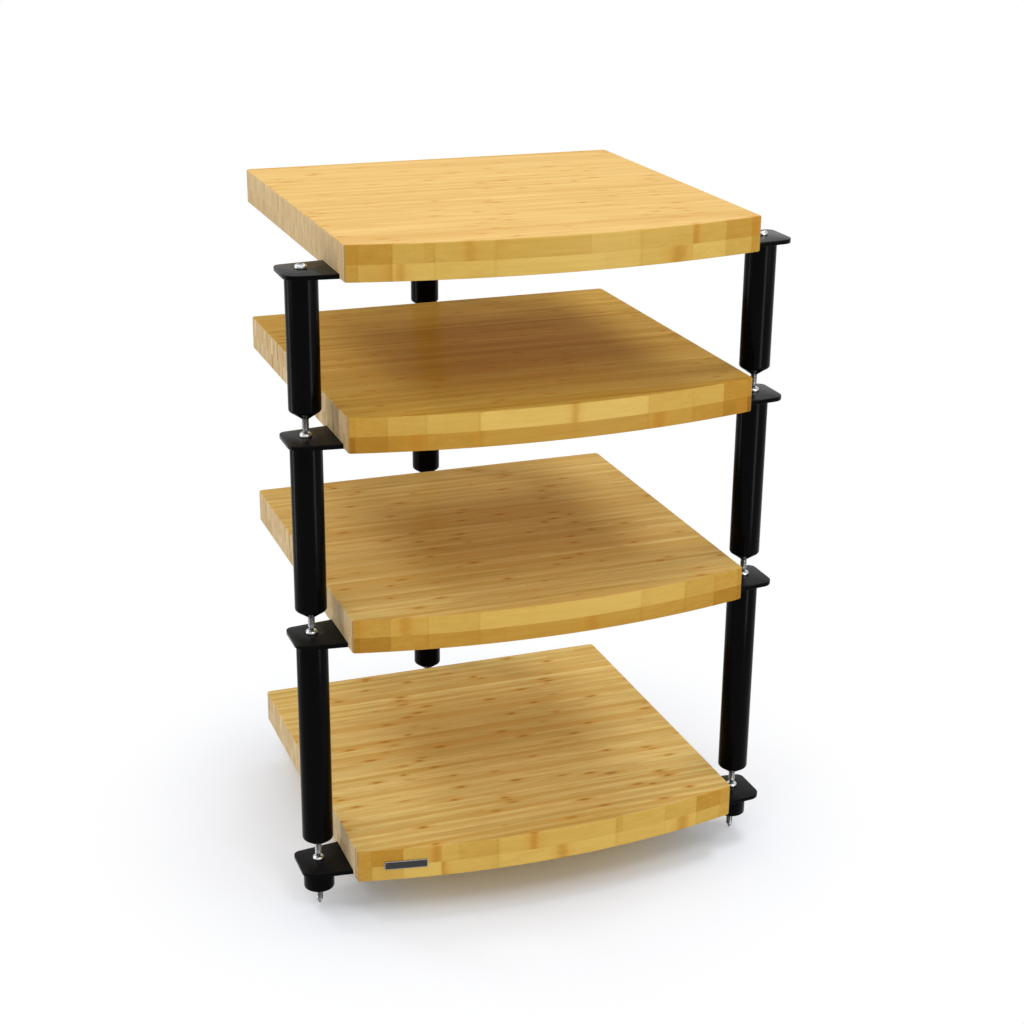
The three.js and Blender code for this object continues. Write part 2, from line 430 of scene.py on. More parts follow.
# Colours from the darkest strip to the palest, on the long grain and on the cut ends
BAMBOO_TONES = ((0.0, (0.36, 0.15, 0.012)), (0.45, (0.58, 0.30, 0.040)), (1.0, (0.89, 0.61, 0.150)))
BAMBOO_END_TONES = ((0.0, (0.45, 0.275, 0.11)), (0.5, (0.71, 0.505, 0.265)), (1.0, (0.87, 0.695, 0.42)))
BAMBOO_KNUCKLE = (0.52, 0.225, 0.028, 1)
BAMBOO_HALO = (0.74, 0.345, 0.038, 1)
BAMBOO_STREAK = (0.70, 0.35, 0.046, 1)

# The boards differ a little: a factor on the colour of each one's wide faces, which also paints a sheen that
# makes them paler and bluer than the fronts, how strongly knuckles and warm streaks show there, and how much
# paler than the plain tone its cut ends are
WIDE_TINTS_AND_PAINTED_SHEEN = {
    "base": (1.06, 1.19, 1.86),
    "lower": (0.98, 1.05, 1.54),
    "middle": (0.84, 0.855, 0.87),
    "top": (0.93, 0.92, 1.40),
}
MARK_STRENGTHS = {"base": 1.0, "lower": 0.85, "middle": 0.7, "top": 0.45}
END_RISES = {"base": 0.24, "lower": 0.1, "middle": 0.0, "top": 0.05}
END_TONE_GAIN = 2.2  # how many times more the tones differ on the cut ends

# Waves for each metre, along X, Y and Z, of the noises in the wood
FINE_FIBRES = (11, 1100, 1100)
BROAD_FIBRES = (7, 330, 200)
STREAKS = (15, 420, 210)
DRIFT = (3.5, 16, 14)
KNUCKLE_RAGS = (60, 420, 160)
END_SPECKS = (120, 900, 900)
END_CLOUDS = (30, 110, 60)

# How far each of them, and the chance of each length between two knuckles, changes the tone
FINE_TONE = 0.42
BROAD_TONE = 0.50
DRIFT_TONE = 0.20
LENGTH_TONE = 0.12
SPECK_TONE = 0.9
CLOUD_TONE = 0.4

# Dark seams between the strips, and how far from a strip's middle they start, as a share of its width
SEAM_START = 0.46
SEAM_TONE = 0.07

# Streaks and warm strips: between which values of their noise or chance they appear, and how strong they get
STREAK_LIMITS = (0.48, 0.70)
STREAK_SHARE = 0.75
WARM_LIMITS = (0.45, 1.0)
WARM_SHARE = 0.65

# Knuckles: places across a strip, sizes, and the chances between which they go from none to full
KNUCKLE_LANES = (0.25, 0.75)
KNUCKLE_SIZES = (0.6, 1.3)
KNUCKLE_WEIGHTS = (0.1, 0.9)

# Edges of a knuckle's dark spindle and warm halo, in half axes of their ovals, and how ragged they are
SPINDLE_EDGE = (1.1, 0.1)
SPINDLE_RAGS = 0.9
HALO_EDGE = (1.0, 0.0)
HALO_RAGS = 0.5

# Vectors from which chances are drawn: a factor on the strip's seed, and the parts that are the same all over
WARM_DICE = (37.1, 1.0, 2.0)
LENGTH_DICE = {"lane": (23.9, 5.0), "size": (1.0, 7.0), "weight": (91.7, 3.0), "tone": (57.3, 8.0)}

# Shares of the marks and fibres that show on the fronts
FRONT_KNUCKLE_SHARE = 0.45
FRONT_STREAK_SHARE = 0.2
FRONT_FIBRE_SHARE = 0.4

# Parts of the normal, along Z and along X, between which a face turns into a wide one and into a cut end
FLAT_FACING = (0.5, 0.9)
END_FACING = (0.55, 0.85)

# Finish: roughness of the wood, what the cut ends add to it, strength and height of the bumps, and how much
# fibres, knuckles and seams add to these
WOOD_ROUGHNESS = (0.42, 0.58)
END_ROUGHER = 0.18
WOOD_RELIEF = (0.10, 0.12 * MM)
FIBRE_RELIEF = 0.35
KNUCKLE_RELIEF = 0.5
SEAM_RELIEF = 4.0
LACQUER_WEIGHT = 0.08
LACQUER_ROUGHNESS = 0.28


class Wood:
    """The layers of a board's look. A strip's seed shifts its fibres and its knuckles along X."""

    def __init__(self, nodes, tier, first_line):
        coordinates = nodes.add("ShaderNodeTexCoord")
        self.nodes = nodes
        self.tier = tier
        self.tone = nodes.attribute("tone")
        self.seed = nodes.attribute("seed")
        self.xyz = coordinates.outputs["Object"]
        self.x, y, _ = nodes.split(self.xyz)
        self.facing = nodes.split(coordinates.outputs["Normal"])
        self.flat = nodes.step(nodes.math("ABSOLUTE", self.facing[2]), *FLAT_FACING)
        strips = nodes.math("DIVIDE", nodes.math("SUBTRACT", y, first_line), STRIP_WIDTH)
        self.strip_place = nodes.math("FRACT", strips)  # from 0 at the strip's front to 1 at its back
        from_middle = nodes.math("ABSOLUTE", nodes.math("SUBTRACT", self.strip_place, 0.5))
        self.seam = nodes.step(from_middle, SEAM_START, 0.5, 0.0, SEAM_TONE)
        shifted = nodes.add("ShaderNodeVectorMath", {"operation": "ADD"})
        nodes.feed(shifted.inputs[0], self.xyz)
        nodes.feed(shifted.inputs[1], nodes.join(self.seed, 0.0, 0.0))
        self.strip_xyz = shifted.outputs[0]
        self.fine = nodes.noise(nodes.stretch(self.strip_xyz, FINE_FIBRES), detail=3.0)

    def dice(self, cell, purpose):
        """A random number for each length between two knuckles of each strip."""
        factor, salt = LENGTH_DICE[purpose]
        return self.nodes.chance(self.nodes.join(cell, self.nodes.math("MULTIPLY", self.seed, factor), salt))

    def strength(self, on_front):
        """How much marks show: on_front on the fronts, and the board's own share on its wide faces."""
        return self.nodes.spread(self.flat, on_front, MARK_STRENGTHS[self.tier])

    def streaks(self):
        """Thin warm streaks, and some strips that are warm all over."""
        nodes = self.nodes
        streak = nodes.noise(nodes.stretch(self.strip_xyz, STREAKS), detail=2.0)
        streak = nodes.step(streak, *STREAK_LIMITS, 0.0, STREAK_SHARE)
        factor, *salts = WARM_DICE
        warm_strip = nodes.chance(nodes.join(nodes.math("MULTIPLY", self.seed, factor), *salts))
        streak = nodes.math("MAXIMUM", streak, nodes.step(warm_strip, *WARM_LIMITS, 0.0, WARM_SHARE))
        return nodes.math("MULTIPLY", streak, self.strength(FRONT_STREAK_SHARE))

    def knuckles(self):
        """Dark middles and warm halos of the knuckles, and a random number for each length between two. Each
        strip has one at every spacing, at its own place, and some are faint. On the wide faces they are
        spindles, and on the fronts bands across the layer."""
        nodes = self.nodes
        along = nodes.math("ADD", nodes.math("DIVIDE", self.x, KNUCKLE_SPACING), self.seed)
        cell = nodes.math("FLOOR", along)
        offset = nodes.math("SUBTRACT", nodes.math("FRACT", along), 0.5)
        distance = nodes.math("MULTIPLY", nodes.math("ABSOLUTE", offset), KNUCKLE_SPACING)
        lane = nodes.spread(self.dice(cell, "lane"), *KNUCKLE_LANES)
        across = nodes.math("MULTIPLY", nodes.math("SUBTRACT", self.strip_place, lane), STRIP_WIDTH)
        across = nodes.math("MULTIPLY", across, self.flat)
        size = nodes.spread(self.dice(cell, "size"), *KNUCKLE_SIZES)
        rags = nodes.noise(nodes.stretch(self.xyz, KNUCKLE_RAGS))
        spindle = nodes.oval(distance, across, nodes.math("MULTIPLY", size, KNUCKLE_LENGTH), KNUCKLE_WIDTH)
        spindle = nodes.step(nodes.vary(spindle, rags, SPINDLE_RAGS), *SPINDLE_EDGE)
        halo = nodes.oval(distance, across, nodes.math("MULTIPLY", size, HALO_LENGTH), HALO_WIDTH)
        halo = nodes.step(nodes.vary(halo, rags, HALO_RAGS), *HALO_EDGE)
        weight = nodes.step(self.dice(cell, "weight"), *KNUCKLE_WEIGHTS)
        weight = nodes.math("MULTIPLY", weight, self.strength(FRONT_KNUCKLE_SHARE))
        knuckle = nodes.math("MULTIPLY", spindle, weight)
        warmth = nodes.math("MULTIPLY", halo, weight)
        return knuckle, warmth, self.dice(cell, "tone")

    def grain(self, knuckle, warmth, length_dice):
        """Colour of the long grain."""
        nodes = self.nodes
        broad = nodes.noise(nodes.stretch(self.strip_xyz, BROAD_FIBRES), detail=2.0)
        fibres = nodes.vary(nodes.vary(0.0, self.fine, FINE_TONE), broad, BROAD_TONE)
        fibres = nodes.math("MULTIPLY", fibres, nodes.spread(self.flat, FRONT_FIBRE_SHARE, 1.0))
        drift = nodes.noise(nodes.stretch(self.xyz, DRIFT), detail=2.0)
        level = nodes.vary(nodes.vary(self.tone, drift, DRIFT_TONE), length_dice, LENGTH_TONE)
        level = nodes.math("SUBTRACT", nodes.math("ADD", level, fibres), self.seam, clamp=True)
        colour = nodes.mix(self.streaks(), nodes.ramp(level, BAMBOO_TONES), BAMBOO_STREAK)
        colour = nodes.mix(knuckle, nodes.mix(warmth, colour, BAMBOO_HALO), BAMBOO_KNUCKLE)
        # The wide faces get their board's factor, partly its own colour and partly a painted sheen
        return nodes.tint(self.flat, colour, WIDE_TINTS_AND_PAINTED_SHEEN[self.tier])

    def cut_end(self):
        """Colour of the cut ends: specks of fibre in a paler ground."""
        nodes = self.nodes
        speck = nodes.noise(nodes.stretch(self.xyz, END_SPECKS), detail=2.0, roughness=0.7)
        cloud = nodes.noise(nodes.stretch(self.xyz, END_CLOUDS), detail=1.0)
        rest = 0.5 + END_RISES[self.tier] - END_TONE_GAIN * TONE_MIDDLES[self.tier]
        level = nodes.math("MULTIPLY_ADD", self.tone, END_TONE_GAIN, rest)
        level = nodes.vary(nodes.vary(level, speck, SPECK_TONE), cloud, CLOUD_TONE)
        return nodes.ramp(nodes.math("SUBTRACT", level, self.seam, clamp=True), BAMBOO_END_TONES)

    def relief(self, knuckle):
        """Height of the fibres, with hollows at knuckles and seams."""
        nodes = self.nodes
        height = nodes.math("MULTIPLY", self.fine, FIBRE_RELIEF)
        height = nodes.math("SUBTRACT", height, nodes.math("MULTIPLY", knuckle, KNUCKLE_RELIEF))
        return nodes.math("SUBTRACT", height, nodes.math("MULTIPLY", self.seam, SEAM_RELIEF))


def bamboo_material(tier, first_line):
    """Bamboo strips along X under a thin matt lacquer, which is duller on the board's cut ends."""
    material, nodes, shader = new_material("bamboo_" + tier)
    wood = Wood(nodes, tier, first_line)
    knuckle, warmth, length_dice = wood.knuckles()
    grain = wood.grain(knuckle, warmth, length_dice)
    at_end = nodes.step(nodes.math("ABSOLUTE", wood.facing[0]), *END_FACING)
    colour = nodes.mix(at_end, grain, wood.cut_end())
    roughness = nodes.math("MULTIPLY_ADD", at_end, END_ROUGHER, nodes.spread(wood.fine, *WOOD_ROUGHNESS))
    finish_surface(nodes, shader, colour, roughness, wood.relief(knuckle), WOOD_RELIEF)
    shader.inputs["Specular IOR Level"].default_value = 0.0
    shader.inputs["Coat Weight"].default_value = LACQUER_WEIGHT
    shader.inputs["Coat Roughness"].default_value = LACQUER_ROUGHNESS
    return material


# Other materials

# Each has the colours and the roughness between which it varies, strength and height of its bumps, and the
# waves for each metre of its patterns
COAT_COLOURS = ((0.0006, 0.0006, 0.0008, 1), (0.0014, 0.0014, 0.0017, 1))
COAT_ROUGHNESS = (0.17, 0.25)
COAT_RELIEF = (0.12, 0.05 * MM)
COAT_GLOSS = 0.04
COAT_PEEL = 1500.0
COAT_CLOUDS = 26.0
COAT_SPECKS = 420.0
SPECK_COLOUR = (0.006, 0.006, 0.0065, 1)
SPECK_LIMITS = (0.66, 0.8)
SPECK_SHARE = 0.35
# Paler colour of upward faces, a painted sheen
PAINTED_SHEEN_COLOURS = ((0.008, 0.008, 0.0078, 1), (0.013, 0.0128, 0.0124, 1))
PAINTED_SHEEN_FACING = (0.7, 0.95)

CHROME_COLOURS = ((0.42, 0.43, 0.45, 1), (0.58, 0.59, 0.60, 1))
CHROME_ROUGHNESS = (0.05, 0.15)
CHROME_RELIEF = (0.05, 0.02 * MM)
CHROME_CLOUDS = 160.0
CHROME_SCRATCHES = (300, 4200, 300)

ZINC_COLOURS = ((0.15, 0.15, 0.155, 1), (0.26, 0.26, 0.265, 1))
ZINC_ROUGHNESS = (0.2, 0.36)
ZINC_RELIEF = (0.08, 0.03 * MM)
ZINC_BLOTCHES = 320.0
WORN_COLOUR = (0.38, 0.38, 0.38, 1)
WORN_LIMITS = (0.49, 0.56)

BADGE_COLOURS = ((0.006, 0.006, 0.007, 1), (0.016, 0.016, 0.017, 1))
BADGE_ROUGHNESS = (0.22, 0.42)
BADGE_RELIEF = (0.15, 0.03 * MM)
BADGE_BRUSHING = (70, 70, 5200)


def black_coat_material():
    """Satin black powder coat: fine orange peel, faint clouds, specks, and a painted sheen that pales upward
    faces.
    """
    material, nodes, shader = new_material("black_coat")
    coordinates = nodes.add("ShaderNodeTexCoord")
    xyz = coordinates.outputs["Object"]
    cloud = nodes.noise(xyz, scale=COAT_CLOUDS, detail=3.0)
    speck = nodes.step(nodes.noise(xyz, scale=COAT_SPECKS, detail=4.0, roughness=0.7), *SPECK_LIMITS)
    speck = nodes.math("MULTIPLY", speck, SPECK_SHARE)
    painted_sheen = nodes.step(nodes.split(coordinates.outputs["Normal"])[2], *PAINTED_SHEEN_FACING)
    colour = nodes.mix(speck, nodes.mix(cloud, *COAT_COLOURS), SPECK_COLOUR)
    # Upward faces get a paler colour, a painted sheen
    colour = nodes.mix(painted_sheen, colour, nodes.mix(cloud, *PAINTED_SHEEN_COLOURS))
    peel = nodes.noise(xyz, scale=COAT_PEEL)
    finish_surface(nodes, shader, colour, nodes.spread(cloud, *COAT_ROUGHNESS), peel, COAT_RELIEF)
    shader.inputs["Specular IOR Level"].default_value = COAT_GLOSS
    return material


def chrome_material():
    """Polished chrome with hair scratches."""
    material, nodes, shader = new_material("chrome_bolt")
    xyz = nodes.object_xyz()
    scratches = nodes.noise(nodes.stretch(xyz, CHROME_SCRATCHES))
    colour = nodes.mix(nodes.noise(xyz, scale=CHROME_CLOUDS), *CHROME_COLOURS)
    roughness = nodes.spread(scratches, *CHROME_ROUGHNESS)
    finish_surface(nodes, shader, colour, roughness, scratches, CHROME_RELIEF)
    shader.inputs["Metallic"].default_value = 1.0
    return material


def zinc_material():
    """Bright zinc plating, slightly blotchy, worn paler on the crests of the threads."""
    material, nodes, shader = new_material("zinc_steel")
    blotch = nodes.noise(nodes.object_xyz(), scale=ZINC_BLOTCHES, detail=3.0)
    worn = nodes.step(nodes.add("ShaderNodeNewGeometry").outputs["Pointiness"], *WORN_LIMITS)
    colour = nodes.mix(worn, nodes.mix(blotch, *ZINC_COLOURS), WORN_COLOUR)
    finish_surface(nodes, shader, colour, nodes.spread(blotch, *ZINC_ROUGHNESS), blotch, ZINC_RELIEF)
    shader.inputs["Metallic"].default_value = 1.0
    return material


def badge_material():
    """Black plate, finely brushed along its length."""
    material, nodes, shader = new_material("badge")
    brushed = nodes.noise(nodes.stretch(nodes.object_xyz(), BADGE_BRUSHING), detail=3.0)
    colour = nodes.mix(brushed, *BADGE_COLOURS)
    finish_surface(nodes, shader, colour, nodes.spread(brushed, *BADGE_ROUGHNESS), brushed, BADGE_RELIEF)
    return material


# Shelves

SHELF_LOW, SHELF_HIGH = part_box("base_shelf")
SHELF_WIDTH = SHELF_HIGH.x - SHELF_LOW.x
FRONT_LINE = SHELF_LOW.y + SHELF_BOW  # where the bow meets the sides
BOW_RADIUS = (SHELF_WIDTH ** 2 / 4 + SHELF_BOW ** 2) / (2 * SHELF_BOW)
BOW_CENTRE = BOW_RADIUS - SHELF_BOW  # how far it lies behind the front line

# Part of a face's normal towards the front from which it counts as a front face
FRONT_FACING = 0.4

# How far the first line between two strips lies behind the front's foremost point
FIRST_LINE_DEPTHS = {"base": 2.7 * MM, "lower": 4.7 * MM, "middle": 4.7 * MM, "top": 3.3 * MM}

# The strips that show on the front, counted from the foremost one back: how pale each is, and where its
# knuckle lies, as a share of the half width from the middle
FRONT_STRIPS = {
    "base": {
        "upper": ((0.79, -0.13), (0.74, 0.78), (0.70, -0.62), (0.44, 0.10), (0.52, 0.62), (0.66, 0.3)),
        "lower": ((0.94, 0.02), (0.88, -0.60), (0.96, 0.70), (0.72, -0.10), (0.60, 0.9), (0.7, 0.1)),
    },
    "lower": {
        "upper": ((0.88, 0.70), (0.80, -0.43), (0.70, 0.10), (0.56, -0.10), (0.46, 0.5), (0.62, 0.2)),
        "lower": ((0.54, 0.15), (0.54, -0.56), (0.50, 0.20), (0.28, 0.30), (0.14, 0.9), (0.4, 0.5)),
    },
    "middle": {
        "upper": ((0.97, 0.90), (0.80, 0.47), (0.74, -0.22), (0.54, 0.10), (0.46, -0.30), (0.62, 0.6)),
        "lower": ((0.53, 0.04), (0.51, 0.47), (0.45, -0.70), (0.25, 0.10), (0.12, 0.20), (0.4, 0.4)),
    },
    "top": {
        "upper": ((0.78, -0.33), (0.72, 0.40), (0.66, 0.63), (0.50, -0.90), (0.46, 0.10), (0.66, 0.5)),
        "lower": ((0.95, 0.60), (0.90, -0.32), (0.87, 0.10), (0.70, -0.79), (0.56, 0.3), (0.7, 0.7)),
    },
}
# Tones of the strips: middle and spread of each board, and a painted shade that darkens the tops of the
# strips of its front, under the front edge of the board above
TONE_MIDDLES = {"base": 0.88, "lower": 0.80, "middle": 0.70, "top": 0.90}
TONE_SPREADS = {"base": 0.07, "lower": 0.06, "middle": 0.07, "top": 0.035}
FOREMOST_PAINTED_SHADE = {"base": 0.14, "lower": 0.02, "middle": 0.04, "top": 0.0}
SEED_RANGE = (0, 40)  # by how many knuckle spacings a strip's pattern is shifted


def shelf_outline(inset):
    """Plan of a shelf, drawn in by inset: right front corner, back, left front corner and the bow."""
    radius = SHELF_CORNER - inset
    corner_x = SHELF_WIDTH / 2 - SHELF_CORNER
    front_y = BOW_CENTRE - math.sqrt((BOW_RADIUS - SHELF_CORNER) ** 2 - corner_x ** 2)
    back_y = SHELF_HIGH.y - FRONT_LINE - SHELF_CORNER
    lean = math.atan2(BOW_CENTRE - front_y, corner_x)
    quarter = math.pi / 2
    outline = arc((corner_x, front_y), radius, -lean, 0, CORNER_STEPS)
    outline += arc((corner_x, back_y), radius, 0, quarter, CORNER_STEPS)
    outline += arc((-corner_x, back_y), radius, quarter, math.pi, CORNER_STEPS)
    outline += arc((-corner_x, front_y), radius, math.pi, math.pi + lean, CORNER_STEPS)
    outline += arc((0, BOW_CENTRE), BOW_RADIUS - inset, math.pi + lean, 2 * math.pi - lean, BOW_STEPS)[1:-1]
    return outline


def plate_outline(wide_side, grow):
    """Plan of a bracket plate about its column, with +X out from the shelf."""
    outer = PLATE_OUTER_REACH + grow
    inner = -(PLATE_INNER_REACH + grow)
    corners = [
        (outer, -(PLATE_OUTER_NARROW + grow), PLATE_NARROW_CORNER + grow),
        (outer, PLATE_OUTER_WIDE + grow, PLATE_WIDE_CORNER + grow),
        (inner, PLATE_INNER_WIDE + grow, PLATE_INNER_CORNER + grow),
        (inner, -(PLATE_INNER_NARROW + grow), PLATE_INNER_CORNER + grow),
    ]
    if wide_side < 0:
        corners = [(x, -y, radius) for x, y, radius in reversed(corners)]
    return rounded_outline(corners, CORNER_STEPS)


def column_axis(side):
    low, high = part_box("base_" + side + "_foot")
    return (low + high) / 2


# How far each column's plates are turned about Z, and towards which of their sides they are wider
COLUMN_TURNS = {"left": math.pi, "right": 0, "rear": math.pi / 2}
WIDE_SIDES = {"left": 1, "right": -1, "rear": 1}


def at_column(side, z):
    """Takes what was made at the origin to a column's axis and turn, at a height."""
    axis = column_axis(side)
    turn = Matrix.Rotation(COLUMN_TURNS[side], 4, "Z")
    return Matrix.Translation((axis.x, axis.y, z)) @ turn


def rebate_cutter(side):
    """The room of a bracket plate in the board above it, with a gap all round."""
    plate = "base_" + side + "_bracket_plate"
    depth = height_of(plate) + REBATE_CEILING_GAP + CUT_OVERRUN
    outline = plate_outline(WIDE_SIDES[side], REBATE_GAP)
    cutter = make_object("rebate", *skin([lift(outline, 0), lift(outline, depth)]))
    return place(cutter, at_column(side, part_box(plate)[0].z - CUT_OVERRUN))


def plain_board():
    """One board in the place of the base shelf, with its three rebates."""
    board = make_object("plain_board", *slab(shelf_outline, height_of("base_shelf"), SHELF_EASE))
    place(board, Matrix.Translation((0, FRONT_LINE, SHELF_LOW.z)))
    return carve(board, [rebate_cutter(side) for side in SIDES])


def cut_into_strips(mesh, first_line, layer_line):
    """Splits the board's faces along the lines between its strips and its two layers."""
    work = bmesh.new()
    work.from_mesh(mesh)
    lines = []
    y = first_line
    while y < SHELF_HIGH.y:
        lines.append(((0, y, 0), (0, 1, 0)))
        y += STRIP_WIDTH
    lines.append(((0, 0, layer_line), (0, 0, 1)))
    for point, normal in lines:
        everything = work.verts[:] + work.edges[:] + work.faces[:]
        bmesh.ops.bisect_plane(work, geom=everything, plane_co=point, plane_no=normal)
    work.to_mesh(mesh)
    work.free()


def paint_strips(mesh, tier, first_line, layer_line):
    """Gives each face the tone and the seed of its strip. Strips that show on the front have another tone
    there, because another side of them faces it."""
    dice = random.Random("strips of " + tier)
    tones = mesh.attributes.new("tone", "FLOAT", "FACE")
    seeds = mesh.attributes.new("seed", "FLOAT", "FACE")
    strips = {}
    for face in mesh.polygons:
        layer = "upper" if face.center.z > layer_line else "lower"
        number = math.floor((face.center.y - first_line) / STRIP_WIDTH) + 1
        if (layer, number) not in strips:
            strips[layer, number] = strip_look(tier, layer, number, dice)
        tone, front_tone, seed = strips[layer, number]
        tones.data[face.index].value = front_tone if face.normal.y < -FRONT_FACING else tone
        seeds.data[face.index].value = seed


def strip_look(tier, layer, number, dice):
    """Tone, tone on the front and seed of a strip. Its knuckles lie where x / spacing + seed is a half."""
    tone = dice.gauss(TONE_MIDDLES[tier], TONE_SPREADS[tier])
    seed = dice.uniform(*SEED_RANGE)
    shown = FRONT_STRIPS[tier][layer]
    if number >= len(shown):
        return tone, tone, seed
    front_tone, knuckle = shown[number]
    seed = math.floor(seed) + 0.5 - knuckle * SHELF_WIDTH / 2 / KNUCKLE_SPACING
    # The tops of the front strips get a painted shade, where the board above shades them
    return tone - FOREMOST_PAINTED_SHADE[tier], front_tone, seed


def make_shelves():
    board = plain_board()
    for tier in TIERS:
        node = tier + "_shelf"
        low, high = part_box(node)
        piece = copy_of(board, node + "_board")
        place(piece, Matrix.Translation((0, 0, low.z - SHELF_LOW.z)))
        first_line = low.y + FIRST_LINE_DEPTHS[tier]
        layer_line = high.z - UPPER_LAYER
        cut_into_strips(piece.data, first_line, layer_line)
        paint_strips(piece.data, tier, first_line, layer_line)
        dress(piece, node, tier + "_tier", bamboo_material(tier, first_line))
    bpy.data.objects.remove(board)


# Plates and wood screws

def screw_places(wide_side):
    """Where the three wood screws of a plate are, seen from its column."""
    centre = wide_side * (PLATE_OUTER_WIDE - PLATE_OUTER_NARROW) / 2
    return [
        (-SCREW_PAIR_INSET, centre - SCREW_PAIR_SPREAD),
        (-SCREW_PAIR_INSET, centre + SCREW_PAIR_SPREAD),
        (-SCREW_SINGLE_INSET, centre),
    ]


def plate_mesh(side):
    """One bracket plate with its bore and its countersunk holes, its underside at z = 0."""
    thickness = height_of("base_" + side + "_bracket_plate")
    wide_side = WIDE_SIDES[side]

    def outline_at(inset):
        return plate_outline(wide_side, -inset)

    bore = [(BORE, -CUT_OVERRUN), (BORE, thickness + CUT_OVERRUN)]
    hole = [
        (SCREW_SINK, -CUT_OVERRUN),
        (SCREW_SINK, 0),
        (SCREW_HOLE, SCREW_SINK_DEPTH),
        (SCREW_HOLE, thickness + CUT_OVERRUN),
    ]
    cutters = [make_object("bore", *turned(bore, HOLE_SIDES))]
    for x, y in screw_places(wide_side):
        cutter = make_object("screw_hole", *turned(hole, HOLE_SIDES))
        cutters.append(place(cutter, Matrix.Translation((x, y, 0))))
    plate = make_object("plain_plate", *slab(outline_at, thickness, PLATE_EASE))
    return carve(plate, cutters)


def cross_cutters():
    """Two crossing slots that get narrower inwards."""
    half = SCREW_CROSS_WIDTH / 2
    rings = []
    for z, share in ((-CUT_OVERRUN, 1.0), (0, 1.0), (SCREW_CROSS_DEPTH, SCREW_CROSS_TAPER)):
        arm = SCREW_CROSS_ARM * share
        rings.append(lift(((-arm, -half), (arm, -half), (arm, half), (-arm, half)), z))
    cutters = [make_object("cross", *skin(rings)) for _ in range(2)]
    place(cutters[1], Matrix.Rotation(math.pi / 2, 4, "Z"))
    return cutters


def screw_mesh():
    """A countersunk wood screw: head at z = 0 with a cross recess, shank up into the board."""
    profile = [
        (SCREW_HEAD - SCREW_SET_BACK, 0),
        (SCREW_HEAD, SCREW_SET_BACK),
        (SCREW_SHANK, SCREW_SINK_DEPTH),
        (SCREW_SHANK, SCREW_LENGTH - SCREW_SINK_DEPTH),
        (SCREW_SET_BACK, SCREW_LENGTH),
    ]
    return carve(make_object("plain_screw", *turned(profile, HOLE_SIDES)), cross_cutters())


def add_screws(screw, tier, side, seat, zinc):
    for number, (x, y) in enumerate(screw_places(WIDE_SIDES[side]), 1):
        fastener = copy_of(screw, f"{tier}_{side}_wood_screw_{number}")
        turn = Matrix.Rotation(number * SCREW_TURN_STEP, 4, "Z")
        place(fastener, seat @ Matrix.Translation((x, y, 0)) @ turn)
        dress(fastener, None, tier + "_tier", zinc)


def make_plates(coat, zinc):
    screw = screw_mesh()
    for side in SIDES:
        plate = plate_mesh(side)
        for tier in TIERS:
            node = tier + "_" + side + "_bracket_plate"
            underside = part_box(node)[0].z
            piece = place(copy_of(plate, tier + "_" + side + "_bracket"), at_column(side, underside))
            dress(piece, node, tier + "_tier", coat)
            add_screws(screw, tier, side, at_column(side, underside + SCREW_SET_BACK), zinc)
        bpy.data.objects.remove(plate)
    bpy.data.objects.remove(screw)


# Columns

def shoulder_profile(radius):
    """The rounded shoulder between a leg's cone and its wall."""
    cone_end = Vector((CONE_END, 0))
    corner = Vector((radius, CONE_HEIGHT))
    above = Vector((radius, CONE_HEIGHT + radius))
    return round_corner(cone_end, corner, above, SHOULDER, CORNER_STEPS)


def top_edge(radius, length):
    """The eased edge between a bar's wall and its top."""
    return arc((radius - TUBE_TOP_EASE, length - TUBE_TOP_EASE), TUBE_TOP_EASE, 0, math.pi / 2, EASE_STEPS)


def make_bar(node, name, body, profile, coat):
    """A turned tube or bar in the place of its node."""
    bar = make_object(name, *turned(profile, ROUND_SIDES, closed=True))
    stand(bar, node)
    dress(bar, node, body, coat)


def make_leg(node, name, body, coat):
    radius = radius_of(node)
    length = height_of(node)
    hollow = radius - TUBE_WALL
    profile = [(BORE, 0), (CONE_END, 0)] + shoulder_profile(radius) + top_edge(radius, length)
    profile += [
        (BORE, length),
        (BORE, length - UPPER_BOSS),
        (hollow, length - UPPER_BOSS),
        (hollow, LOWER_BOSS),
        (BORE, LOWER_BOSS),
    ]
    make_bar(node, name, body, profile, coat)


def make_foot(node, name, body, coat):
    radius = radius_of(node)
    length = height_of(node)
    bottom = arc((radius - FOOT_EASE, FOOT_EASE), FOOT_EASE, -math.pi / 2, 0, EASE_STEPS)
    profile = [(BORE, 0)] + bottom + top_edge(radius, length) + [(BORE, length)]
    make_bar(node, name, body, profile, coat)


def thread_ring(z, limit):
    """One ring of a threaded shank: the ridge winds up with the angle, and limit caps its radius."""
    ring = []
    for i, angle in enumerate(turns(THREAD_SIDES)):
        wave = abs(2 * ((z / THREAD_PITCH - i / THREAD_SIDES) % 1) - 1)
        radius = min(THREAD_ROOT + (THREAD_CREST - THREAD_ROOT) * wave, limit)
        ring.append(polar(radius, angle, z))
    return ring


def thread_rings(length, limit_at):
    """Rings of a threaded shank. limit_at gives the largest radius at a height."""
    rows = round(length / THREAD_PITCH * THREAD_ROWS)
    heights = [length * row / rows for row in range(rows + 1)]
    return [thread_ring(z, limit_at(z)) for z in heights]


def make_spike(node, name, zinc):
    """A threaded stud with a point at its foot and an eased end."""
    length = height_of(node)

    def limit_at(z):
        cone = POINT_TIP + (THREAD_CREST - POINT_TIP) * z / POINT_LENGTH
        end = THREAD_CREST - THREAD_END_EASE + (length - z)
        return min(cone, end)

    spike = make_object(name, *skin(thread_rings(length, limit_at)))
    stand(spike, node)
    dress(spike, node, node, zinc)


def hexagon_ring(z, flats):
    """A ring on a hexagon of that width across its flats."""
    sixth = math.pi / 3
    return [polar(flats / 2 / math.cos(a % sixth - sixth / 2), a, z) for a in turns(THREAD_SIDES)]


